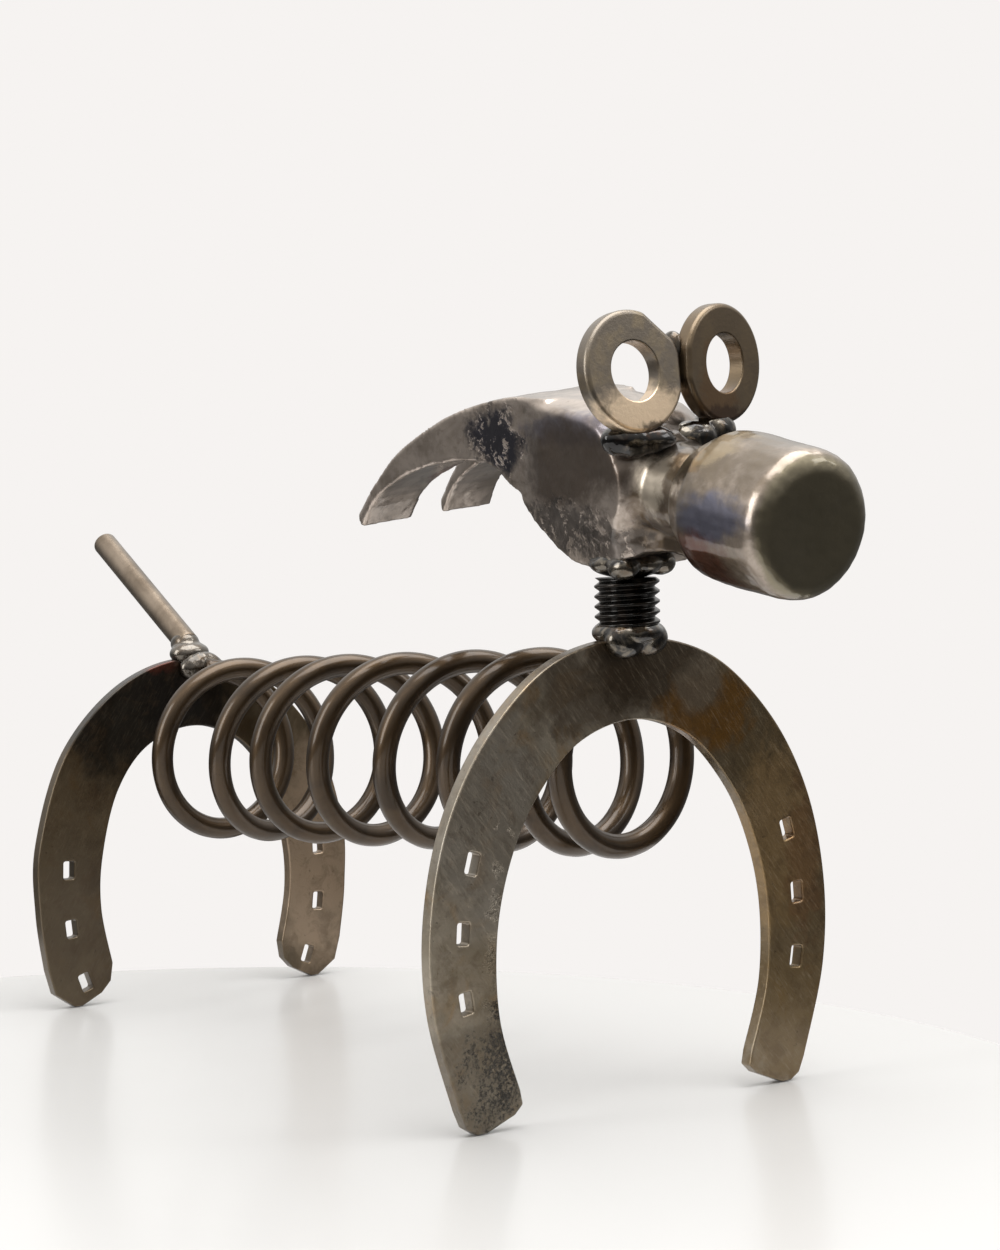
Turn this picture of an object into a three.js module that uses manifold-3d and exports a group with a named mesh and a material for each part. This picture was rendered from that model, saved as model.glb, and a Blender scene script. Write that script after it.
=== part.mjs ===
// A dog welded together from found steel: two horseshoes for legs, a coil spring for the body,
// a short threaded rod for the neck, a claw hammer head, two flat washers for eyes and a rod tail.
//
// Millimetres, +Z up. The dog stands on the tips of its horseshoes at z = 0, its nose points
// along -Y and its left side is +X. Everything is built around the front horseshoe, whose front
// face is y = 0, and the whole group is then moved so that its box is centred over the origin.

import * as THREE from "three";
import { mergeVertices } from "three/addons/utils/BufferGeometryUtils.js";
import Module from "manifold-3d";

const wasm = await Module();
wasm.setup();

// ---------------------------------------------------------------- driving dimensions

const GAP = 0.3; // clearance kept between pieces that touch
const PLATE = 3.1; // thickness of the horseshoe plate

const NAIL_HOLE = { width: 2.8, height: 4.2 };

// Half profiles are [x, z] points, joined by smooth curves: outer runs from the toe down to the
// heel, heel is the cut end, inner runs back up to the toe. Holes are [x, z, lean in degrees].
const FRONT_SHOE = {
  y: 0,
  outer: [[0, 91.7], [19.2, 87.6], [34.3, 75.1], [43.9, 59.2], [48.3, 40.8], [47.8, 22.9], [42.4, 4.6]],
  heel: [[41.0, 1.4], [38.8, 0], [36.4, 0], [29.9, 2.6], [28.0, 4.4]],
  inner: [[28.6, 7.2], [32.9, 21.1], [33.2, 36.7], [29.9, 50.4], [23.7, 62.0], [13.4, 72.0], [0, 75.7]],
  holes: [[38.6, 51.2, 16], [41.0, 38.2, 4], [40.6, 25.1, -9]],
};
const REAR_SHOE = {
  y: 172.3,
  outer: [[0, 80.6], [18.6, 75.2], [34.0, 60.0], [41.6, 38.5], [42.0, 22.5], [40.2, 9.0]],
  heel: [[38.6, 3.4], [35.4, 1.2], [33.6, 0], [31.6, 0], [26.4, 2.6], [24.0, 5.2]],
  inner: [[23.4, 9.3], [26.0, 22.5], [25.3, 35.0], [20.9, 50.0], [12.6, 60.2], [0, 64.2]],
  holes: [[34.3, 32.4, 2], [34.0, 18.5, -6], [30.7, 5.6, -20]],
};

// The spring is left-handed and unevenly stretched. It starts at the top of the rear shoe and ends
// at the top of the front one. COIL_Y is how far back the wire is at every half turn.
const WIRE_RADIUS = 2.5;
const COIL_RADIUS = 18.95;
const COIL_Y = [173.4, 164.1, 156.4, 147.4, 131.7, 122.4, 115.1, 103.4, 92.8, 82.2, 68.1, 58.1, 45.9,
  34.8, 21.7, 18.9, 10.1, 2.6];
const COIL_FIRST_TURN = -1;
const COIL_REAR = { x: 0.7, z: 58.7, turn: -0.75 };
const COIL_FRONT = { x: 8.8, z: 68.8, turn: 7.25 };
const COIL_STEPS_PER_TURN = 20;

const NECK = { x: 0, y: PLATE / 2, radius: 6.35, pitch: 1.95, depth: 0.95, top: 103.2 };

// The hammer head's own frame: u forward to the face, v to the dog's left, w up. Its centre is
// the middle of the eye, over the neck.
const HEAD = { x: 2.2, y: 1.5, z: 122.7, noseDown: 10.5, leanRight: 7 };
const CHEEK_HALF_WIDTH = 12;
const CLAW_TOP = [[-74.6, -19.4], [-70.1, -13.2], [-63.2, -5.6], [-55.7, 0], [-46.6, 5.4],
  [-37, 9.6], [-27.8, 12.5], [-19.2, 13.9], [-8, 14.5]];
const CLAW_UNDER = [[-26.3, -4.6], [-29.6, -2.3], [-34.2, -1.6], [-41.1, -2.3], [-53.3, -5.9],
  [-63.3, -11], [-69.6, -16.3], [-72.7, -21.6]];
const CHIN = [[-22.3, -6.8], [-18.1, -11], [-11.5, -15.3], [-6.5, -17.1], [4.8, -17.2]];
const CLAW_SLOT = { tip: 4.4, root: 1.5, from: -80, to: -31 };
const CLAW_HALF_WIDTH = [[-14, 11], [-24, 11.5], [-50, 14], [-80, 17.2]];

// Poll and neck of the hammer, turned about u: [u, radius] from the cheek to the face.
const SHOULDER = [[-30, 24], [-12, 19.6], [-3, 17.9], [3.5, 16.5], [7.8, 14.4], [10.6, 12.3],
  [12.4, 10.4], [14.4, 9.2], [23.6, 9.2]];
const POLL = [[10, 8.6], [23.2, 9], [24.5, 11], [27.7, 12.6], [31, 14.2], [34, 14.5], [50.2, 14.1],
  [51.6, 13.6], [52.7, 12.5], [53.3, 11.2], [53.5, 10.4]];

// The washers stand on edge. Turn and tipBack are in degrees, and the places ground flat on their
// rims are [degrees round the washer, distance from its middle].
const WASHER = { outer: 11.7, inner: 5.7, thickness: 3.5, bevel: 0.7 };
const EYES = {
  right: { x: -8.9, y: -12, z: 142.3, turn: 1, tipBack: 6.8, flats: [[52, 10.9], [0, 11.2]] },
  left: { x: 13.9, y: -10.3, z: 144.1, turn: 13, tipBack: 1, flats: [[180, 11.1]] },
};

const TAIL = { radius: 2.9, base: [0, 174.4, 83.8], tip: [0, 215.6, 107.8] };

// Weld beads as lists of [x, y, z, half width, half depth, half height] swellings.
const NECK_WELD_LOWER = [[0, 1.6, 92.6, 7.8, 7.6, 3.4], [-4, -1.4, 91.2, 3.4, 3.2, 4.2],
  [3.6, -1.6, 91.6, 3.4, 3.2, 3.8], [-1, 4.6, 92, 4.6, 3, 3]];
const NECK_WELD_UPPER = [[0.4, 1.6, 105.4, 8.6, 8.6, 3], [-5, -3.6, 105, 3.6, 3.6, 3],
  [5.6, -2.6, 106, 3.6, 3.6, 3]];
const EYE_WELD_RIGHT = [[-8.4, -11, 129.4, 7, 4, 4.2], [-4, -12.4, 129.2, 6, 3.4, 3.4]];
const EYE_WELD_LEFT = [[12.6, -9.8, 131.2, 5.4, 3.8, 4.2], [7, -10.8, 129.8, 6, 3.6, 3.6]];
const EYE_BRIDGE_WELD = [[2.8, -10, 147, 2.2, 2.6, 4.6], [2.7, -9.6, 141.6, 1.9, 2.6, 3.6]];
const SPRING_WELD_FRONT = [[6.4, 6.2, 88.4, 7.6, 3.4, 4.6]];
const SPRING_WELD_REAR = [[1.4, 169.4, 78.4, 6.6, 3.4, 4.6]];
const TAIL_WELD = [[0, 173.4, 81.8, 6, 4.6, 3.4], [0, 175.8, 84.2, 4.2, 4.2, 3.8]];

const STEEL = { shoe: 0x5b5348, spring: 0x5a5044, hammer: 0x6a625b, washer: 0x6b6255, thread: 0x2c2824,
  weld: 0x4a4540, tail: 0x625a50 };

// ---------------------------------------------------------------- geometry and boolean helpers

function toSolid(geometry) {
  const bare = geometry.clone();
  bare.deleteAttribute("normal");
  bare.deleteAttribute("uv");
  const merged = mergeVertices(bare, 1e-4);
  const source = merged.index.array;
  const faces = [];
  for (let i = 0; i < source.length; i += 3) {
    const [a, b, c] = [source[i], source[i + 1], source[i + 2]];
    if (a !== b && b !== c && c !== a) {
      faces.push(a, b, c);
    }
  }
  const vertProperties = new Float32Array(merged.attributes.position.array);
  const build = (triVerts) => new wasm.Manifold(
    new wasm.Mesh({ numProp: 3, vertProperties, triVerts: new Uint32Array(triVerts) }));
  const solid = build(faces);
  return solid.volume() > 0 ? solid : build(faces.reverse());
}

function toGeometry(solid) {
  const mesh = solid.getMesh();
  const geometry = new THREE.BufferGeometry();
  geometry.setAttribute("position", new THREE.BufferAttribute(mesh.vertProperties, 3));
  geometry.setIndex(new THREE.BufferAttribute(mesh.triVerts, 1));
  geometry.computeVertexNormals();
  return geometry;
}

function unionOf(solids) {
  return solids.reduce((sum, solid) => sum.add(solid));
}

function biggestPiece(solid) {
  return solid.decompose().reduce((best, piece) => (piece.volume() > best.volume() ? piece : best));
}

// Cuts a bead back from a neighbour that it touches, leaving GAP all round.
function clearOf(bead, neighbour) {
  const away = [[1, 0, 0], [-1, 0, 0], [0, 1, 0], [0, -1, 0], [0, 0, 1], [0, 0, -1]];
  return away.reduce((rest, step) => rest.subtract(neighbour.translate(step.map((n) => n * GAP))), bead);
}

function named(name, geometry, color, roughness) {
  const material = new THREE.MeshStandardMaterial({ color, roughness, metalness: 1 });
  const mesh = new THREE.Mesh(geometry, material);
  mesh.name = name;
  return mesh;
}

function vector2(points) {
  return points.map(([x, y]) => new THREE.Vector2(x, y));
}

function mirrored(points) {
  return points.map(([x, y]) => [-x, y]).reverse();
}

function smooth(points, steps) {
  return new THREE.SplineCurve(vector2(points)).getPoints(steps);
}

function extrude(shape, depth) {
  return new THREE.ExtrudeGeometry(shape, { depth, steps: 1, bevelEnabled: false, curveSegments: 6 });
}

// A solid turned about the Y axis from [y, radius] points.
function turned(points, segments) {
  const profile = points.map(([y, radius]) => new THREE.Vector2(radius, y));
  return new THREE.LatheGeometry(profile, segments);
}

// ---------------------------------------------------------------- horseshoes

function nailHole([x, z, lean], side) {
  const angle = THREE.MathUtils.degToRad(lean) * side;
  const corners = [[-1, -1], [1, -1], [1, 1], [-1, 1]].map(([sx, sz]) => {
    const corner = new THREE.Vector2(sx * NAIL_HOLE.width / 2, sz * NAIL_HOLE.height / 2);
    return corner.rotateAround(new THREE.Vector2(), angle).add(new THREE.Vector2(side * x, z));
  });
  return new THREE.Path(corners);
}

function horseshoeGeometry(shoe) {
  const outer = smooth([...mirrored(shoe.outer), ...shoe.outer.slice(1)], 44);
  const inner = smooth([...shoe.inner, ...mirrored(shoe.inner).slice(1)], 38);
  const heel = vector2(shoe.heel);
  const otherHeel = vector2(mirrored(shoe.heel));
  const shape = new THREE.Shape([...outer, ...heel, ...inner, ...otherHeel]);
  shape.holes = [1, -1].flatMap((side) => shoe.holes.map((hole) => nailHole(hole, side)));
  return extrude(shape, PLATE).rotateX(Math.PI / 2).translate(0, PLATE, 0);
}

function horseshoe(name, shoe) {
  const mesh = named(name, horseshoeGeometry(shoe), STEEL.shoe, 0.4);
  mesh.position.y = shoe.y;
  return mesh;
}

// ---------------------------------------------------------------- coil spring

class Coil extends THREE.Curve {
  constructor(from, to) {
    super();
    this.from = from;
    this.to = to;
    this.stretch = new THREE.SplineCurve(COIL_Y.map((y, i) => new THREE.Vector2(i, y)));
  }

  getPoint(t, target = new THREE.Vector3()) {
    const turn = THREE.MathUtils.lerp(this.from, this.to, t);
    const angle = turn * 2 * Math.PI;
    const y = this.stretch.getPoint((turn - COIL_FIRST_TURN) * 2 / (COIL_Y.length - 1)).y;
    const rearward = y / REAR_SHOE.y;
    const axisX = THREE.MathUtils.lerp(COIL_FRONT.x, COIL_REAR.x, rearward);
    const axisZ = THREE.MathUtils.lerp(COIL_FRONT.z, COIL_REAR.z, rearward);
    return target.set(axisX - COIL_RADIUS * Math.cos(angle), y, axisZ + COIL_RADIUS * Math.sin(angle));
  }

  // Evenly spaced in angle: the pitch varies too little to matter.
  getPointAt(t, target) {
    return this.getPoint(t, target);
  }
}

function wire(from, to, radius) {
  const path = new Coil(from, to);
  const section = new THREE.Shape();
  section.absarc(0, 0, radius, 0, 2 * Math.PI);
  const steps = Math.ceil((to - from) * COIL_STEPS_PER_TURN);
  const options = { steps, extrudePath: path, bevelEnabled: false, curveSegments: 4 };
  return new THREE.ExtrudeGeometry(section, options);
}

function coilSpring() {
  return named("coil_spring", wire(COIL_REAR.turn, COIL_FRONT.turn, WIRE_RADIUS), STEEL.spring, 0.4);
}

// ---------------------------------------------------------------- neck rod

const NECK_BASE = FRONT_SHOE.outer[0][1] + GAP;

// Thread crests and roots as rings: the lead is under three degrees on this rod.
function neckRod() {
  const length = NECK.top - NECK_BASE;
  const threads = Math.floor(length / NECK.pitch);
  const profile = [[0, 0], [0, NECK.radius - NECK.depth]];
  for (let i = 0; i < threads; i += 1) {
    profile.push([(i + 0.35) * NECK.pitch, NECK.radius], [(i + 0.55) * NECK.pitch, NECK.radius]);
    profile.push([(i + 0.95) * NECK.pitch, NECK.radius - NECK.depth]);
  }
  profile.push([length, NECK.radius - NECK.depth], [length, 0]);
  const mesh = named("neck_rod", turned(profile, 20), STEEL.thread, 0.3);
  mesh.rotation.x = Math.PI / 2;
  mesh.position.set(NECK.x, NECK.y, NECK_BASE);
  return mesh;
}

// ---------------------------------------------------------------- hammer head

// Local axes: X is v, -Y is u and Z is w, so the face looks along -Y.
function fromSide(points) {
  const turn = new THREE.Matrix4().makeBasis(
    new THREE.Vector3(0, 1, 0), new THREE.Vector3(0, 0, 1), new THREE.Vector3(1, 0, 0));
  const half = 20;
  const shape = new THREE.Shape(points.map(([u, w]) => new THREE.Vector2(-u, w)));
  return toSolid(extrude(shape, 2 * half).translate(0, 0, -half).applyMatrix4(turn));
}

function fromAbove(points, low, high) {
  const shape = new THREE.Shape(points.map(([u, v]) => new THREE.Vector2(v, -u)));
  return toSolid(extrude(shape, high - low).translate(0, 0, low));
}

function turnedAboutU(points, segments) {
  return toSolid(turned([[points[0][0], 0], ...points, [points[points.length - 1][0], 0]]
    .map(([u, radius]) => [-u, radius]), segments));
}

// Closes a half plan given on the left with its mirror image on the right.
function bothSides(points) {
  const right = points.filter(([, v]) => v !== 0).map(([u, v]) => [u, -v]).reverse();
  return [...points, ...right];
}

function pairs(curvePoints) {
  return curvePoints.map((point) => [point.x, point.y]);
}

function claws() {
  const top = pairs(smooth(CLAW_TOP, 20));
  const under = pairs(smooth(CLAW_UNDER, 16));
  const side = fromSide([...top, [-8, -6], [-22, -6], ...under, [-74, -21.4]]);
  const edge = CLAW_HALF_WIDTH;
  const slot = CLAW_SLOT;
  const plan = [...edge, [slot.from, slot.tip], [slot.to + 1, slot.root], [slot.to + 2.2, 0]];
  return side.intersect(fromAbove(bothSides(plan), -30, 30));
}

function cheek() {
  const half = CHEEK_HALF_WIDTH;
  const side = fromSide([[-22, 12.9], [-19.2, 13.9], [-8, 14.5], [24, 14.5], [24, -10.7], [18.5, -10.7],
    [12, -11.8], [7.5, -14.4], ...[...CHIN].reverse()]);
  const rightSection = [[-half, -4.2], [-half, 12.6], [-half + 1, 13.4], [-6, 14.6]];
  const leftSection = rightSection.map(([v, w]) => [-v, w]).reverse();
  const section = new THREE.Shape(vector2([...rightSection, ...leftSection, [9.6, -17.3], [-9.6, -17.3]]));
  const across = toSolid(extrude(section, 50).rotateX(Math.PI / 2).translate(0, 25, 0));
  const shoulder = turnedAboutU(SHOULDER, 32);
  const chinPlan = [[-30, half], [6, half], [12.5, 7.5], [16, 5.5], [24, 5.5]];
  const chin = fromAbove(bothSides(chinPlan), -20, -4.4);
  const rearTaper = fromAbove(bothSides([[-22, 11.2], [-15, half], [24, half]]), -30, 30);
  return side.intersect(across).intersect(shoulder.add(chin)).intersect(rearTaper);
}

function hammerHead() {
  const solid = cheek().add(claws()).add(turnedAboutU(POLL, 32));
  return named("hammer_head", toGeometry(solid), STEEL.hammer, 0.4);
}

// ---------------------------------------------------------------- eyes

function washerSolid() {
  const { outer, inner, thickness, bevel } = WASHER;
  const half = thickness / 2;
  const profile = [[-half, inner], [-half, outer - bevel], [-half + bevel, outer], [half - bevel, outer],
    [half, outer - bevel], [half, inner], [-half, inner]];
  return toSolid(turned(profile, 30));
}

function groundFlat(solid, degrees, distance) {
  const block = new THREE.BoxGeometry(10, 20, 40).translate(distance + 5, 0, 0);
  return solid.subtract(toSolid(block.rotateY(-THREE.MathUtils.degToRad(degrees))));
}

function eye(name, place) {
  const solid = place.flats.reduce((rest, flat) => groundFlat(rest, ...flat), washerSolid());
  const mesh = named(name, toGeometry(solid), STEEL.washer, 0.45);
  mesh.position.set(place.x, place.y, place.z);
  mesh.rotation.order = "ZXY";
  mesh.rotation.z = THREE.MathUtils.degToRad(place.turn);
  mesh.rotation.x = -THREE.MathUtils.degToRad(place.tipBack);
  return mesh;
}

// ---------------------------------------------------------------- tail

function tailRod() {
  const base = new THREE.Vector3(...TAIL.base);
  const tip = new THREE.Vector3(...TAIL.tip);
  const geometry = new THREE.CylinderGeometry(TAIL.radius, TAIL.radius, base.distanceTo(tip), 16);
  const mesh = named("tail_rod", geometry, STEEL.tail, 0.4);
  mesh.quaternion.setFromUnitVectors(new THREE.Vector3(0, 1, 0), tip.clone().sub(base).normalize());
  mesh.position.copy(base).lerp(tip, 0.5);
  return mesh;
}

// ---------------------------------------------------------------- weld beads

function placedSolid(mesh) {
  return toSolid(mesh.geometry.clone().applyMatrix4(mesh.matrixWorld));
}

function swelling([x, y, z, halfWidth, halfDepth, halfHeight]) {
  const ball = new THREE.SphereGeometry(1, 9, 6).scale(halfWidth, halfDepth, halfHeight);
  return toSolid(ball.translate(x, y, z));
}

function neckSleeve() {
  const radius = NECK.radius + GAP;
  const height = NECK.top + 10 - NECK_BASE;
  const sleeve = new THREE.CylinderGeometry(radius, radius, height, 16).rotateX(Math.PI / 2);
  return toSolid(sleeve.translate(NECK.x, NECK.y, NECK_BASE - GAP + height / 2));
}

function wireSleeve(from, to) {
  return toSolid(wire(from, to, WIRE_RADIUS + GAP));
}

function weld(name, swellings, sleeves, neighbours) {
  const bead = unionOf(swellings.map(swelling));
  const bored = sleeves.reduce((rest, sleeve) => rest.subtract(sleeve), bead);
  const cut = neighbours.reduce((rest, mesh) => clearOf(rest, placedSolid(mesh)), bored);
  return named(name, toGeometry(biggestPiece(cut)), STEEL.weld, 0.35);
}

// ---------------------------------------------------------------- assembly

const frontShoe = horseshoe("front_horseshoe", FRONT_SHOE);
const rearShoe = horseshoe("rear_horseshoe", REAR_SHOE);
const hammer = hammerHead();
const rightEye = eye("eye_washer_right", EYES.right);
const leftEye = eye("eye_washer_left", EYES.left);
const tail = tailRod();

const head = new THREE.Group();
head.position.set(HEAD.x, HEAD.y, HEAD.z);
head.rotation.order = "ZXY";
head.rotation.x = THREE.MathUtils.degToRad(HEAD.noseDown);
head.rotation.y = -THREE.MathUtils.degToRad(HEAD.leanRight);
head.add(hammer);

const dog = new THREE.Group();
dog.add(frontShoe, rearShoe, coilSpring(), neckRod(), head, rightEye, leftEye, tail);
dog.updateMatrixWorld(true);

const onward = 1 / COIL_STEPS_PER_TURN;
const frontCoil = wireSleeve(COIL_FRONT.turn - 1, COIL_FRONT.turn + onward);
const rearCoil = wireSleeve(COIL_REAR.turn - onward, COIL_REAR.turn + 1);
const lowerNeckWeld = weld("neck_weld_lower", NECK_WELD_LOWER, [neckSleeve(), frontCoil], [frontShoe]);
const upperNeckWeld = weld("neck_weld_upper", NECK_WELD_UPPER, [neckSleeve()], [hammer]);
const frontSpringWeld = weld("spring_weld_front", SPRING_WELD_FRONT, [neckSleeve(), frontCoil],
  [frontShoe, lowerNeckWeld]);
const rearSpringWeld = weld("spring_weld_rear", SPRING_WELD_REAR, [rearCoil], [rearShoe]);
const tailWeld = weld("tail_weld", TAIL_WELD, [rearCoil], [rearShoe, tail, rearSpringWeld]);
const rightEyeWeld = weld("eye_weld_right", EYE_WELD_RIGHT, [], [hammer, rightEye]);
const leftEyeWeld = weld("eye_weld_left", EYE_WELD_LEFT, [], [hammer, leftEye, rightEye, rightEyeWeld]);
const bridgeWeld = weld("eye_bridge_weld", EYE_BRIDGE_WELD, [], [rightEye, leftEye]);
dog.add(lowerNeckWeld, upperNeckWeld, frontSpringWeld, rearSpringWeld, tailWeld);
dog.add(rightEyeWeld, leftEyeWeld, bridgeWeld);

const box = new THREE.Box3().setFromObject(dog);
const centre = box.getCenter(new THREE.Vector3());
dog.position.set(-centre.x, -centre.y, -box.min.z);

export default dog;
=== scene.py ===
"""The looks of a dog welded together from found steel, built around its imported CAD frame."""

import logging
import math
from dataclasses import dataclass
from enum import Enum
from typing import Sequence

import bmesh
import bpy
from mathutils import Matrix, Vector, noise


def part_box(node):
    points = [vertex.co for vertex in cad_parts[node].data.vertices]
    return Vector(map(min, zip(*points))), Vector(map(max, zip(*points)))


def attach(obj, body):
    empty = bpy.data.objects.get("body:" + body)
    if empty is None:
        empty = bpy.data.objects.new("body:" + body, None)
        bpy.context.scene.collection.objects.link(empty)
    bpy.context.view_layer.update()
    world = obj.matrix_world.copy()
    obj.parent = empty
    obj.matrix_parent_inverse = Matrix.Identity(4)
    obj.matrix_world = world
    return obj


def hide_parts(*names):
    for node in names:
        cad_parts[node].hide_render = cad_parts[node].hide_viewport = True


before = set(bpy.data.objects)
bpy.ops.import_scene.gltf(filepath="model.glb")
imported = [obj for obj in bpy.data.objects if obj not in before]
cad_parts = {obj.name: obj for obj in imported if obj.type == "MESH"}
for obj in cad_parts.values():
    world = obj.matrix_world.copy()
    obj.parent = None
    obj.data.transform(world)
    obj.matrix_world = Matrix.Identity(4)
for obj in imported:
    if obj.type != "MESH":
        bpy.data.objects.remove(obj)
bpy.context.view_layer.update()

logging.basicConfig(level=logging.INFO, format="%(name)s: %(message)s")
LOG = logging.getLogger("dog")

MM = 0.001
BODY = "root"

Point2 = tuple[float, float]
Triple = tuple[float, float, float]
Colour = Triple
Swelling = tuple[float, float, float, float, float, float]


class Slot(Enum):
    """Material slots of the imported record."""

    HORSESHOE = "horseshoe_steel"
    SPRING = "spring_steel"
    THREAD = "threaded_rod_steel"
    HAMMER = "hammer_steel"
    WASHER = "washer_steel"
    TAIL = "tail_rod_steel"
    WELD = "weld_metal"


# ---------------------------------------------------------------- placing


def shoe_origin() -> Vector:
    """Finds the point that every size in this file is measured from.

    Returns:
        The front horseshoe's front face, at its middle and on the ground, in metres.
    """
    low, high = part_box("front_horseshoe")
    return Vector(((low[0] + high[0]) / 2, low[1], low[2]))


ORIGIN = shoe_origin()


def at(x: float, y: float, z: float) -> Vector:
    """Turns millimetres from the front horseshoe into a place in the frame.

    Args:
        x: Towards the dog's left.
        y: Back from the front horseshoe's front face.
        z: Up from the ground.

    Returns:
        The place in metres.
    """
    return ORIGIN + Vector((x, y, z)) * MM


def srgb(red: float, green: float, blue: float) -> Colour:
    """Turns a colour as it is seen, 0 to 255, into the linear values that shaders use.

    Args:
        red: Red, 0 to 255.
        green: Green, 0 to 255.
        blue: Blue, 0 to 255.

    Returns:
        The linear colour.
    """
    def linear(value: float) -> float:
        """Undoes the display curve on one channel."""
        share = value / 255
        return share / 12.92 if share <= 0.04045 else ((share + 0.055) / 1.055) ** 2.4
    return linear(red), linear(green), linear(blue)


# ---------------------------------------------------------------- shader graphs


# The Mix node's colour sockets, which share their names with its other sockets.
MIX_FIRST = 6
MIX_SECOND = 7
MIX_RESULT = 2


@dataclass(frozen=True)
class ColourPatch:
    """A patch of another colour on a steel finish, placed in millimetres: used both for real stains and
    for painted highlights, reflection and shade.
    """

    centre: Triple
    size: Triple
    colour: Colour
    strength: float = 0.8
    ragged: float = 0.5
    grain: float = 6.0
    edge: float = 0.35


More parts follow.
